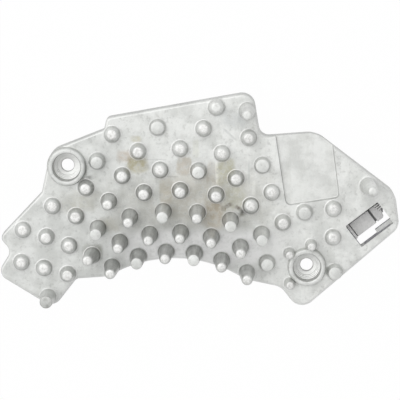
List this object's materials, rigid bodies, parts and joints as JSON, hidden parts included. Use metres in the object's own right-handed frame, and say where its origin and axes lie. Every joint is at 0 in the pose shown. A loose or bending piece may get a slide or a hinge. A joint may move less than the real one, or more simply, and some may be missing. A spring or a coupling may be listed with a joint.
{
  "type": "blower motor resistor",
  "caption": "Electronic regulator of a car heater blower: arc-edged pin-fin aluminium heat sink with screw bosses, plastic rear cover and connector.",
  "frame": {"origin": "centre of the outline's extents, on the rear cover's flat back", "axes": "+Z out of the plate, along the pins; +X along the length towards the connector; +Y away from the arc edge"},
  "size_m": [0.1656, 0.0884, 0.04],
  "materials": {
    "casting": "as cast, dull, heat stained over the middle",
    "cover": "black glass-filled moulding",
    "seal": "matte",
    "screw_steel": "zinc plated",
    "board": "solder-masked board",
    "socket": "grey moulding, mottled",
    "blade": "tin plated",
    "transistor_case": "moulded",
    "film": "thin film",
    "spring_steel": "satin",
    "resistance_strip": "bare strip",
    "capacitor_sleeve": "sleeved can",
    "capacitor_box": "coated box",
    "ic_case": "moulded"
  },
  "bodies": {
    "root": {"heat_sink": "casting", "rear_cover": "cover", "cover_seal": "seal", "cover_screw_1": "screw_steel", "cover_screw_2": "screw_steel", "cover_screw_3": "screw_steel", "cover_screw_4": "screw_steel", "cover_screw_5": "screw_steel", "circuit_board": "board", "connector_socket": "socket", "terminal_1": "blade", "terminal_2": "blade", "terminal_3": "blade", "terminal_4": "blade", "power_transistor_1": "transistor_case", "power_transistor_2": "transistor_case", "insulating_film_1": "film", "insulating_film_2": "film", "spring_clip_1": "spring_steel", "spring_clip_2": "spring_steel", "clip_screw_1": "screw_steel", "clip_screw_2": "screw_steel", "shunt_resistor": "resistance_strip", "filter_capacitor": "capacitor_sleeve", "film_capacitor": "capacitor_box", "control_ic": "ic_case", "temperature_sensor": "ic_case"}
  },
  "joints": []
}
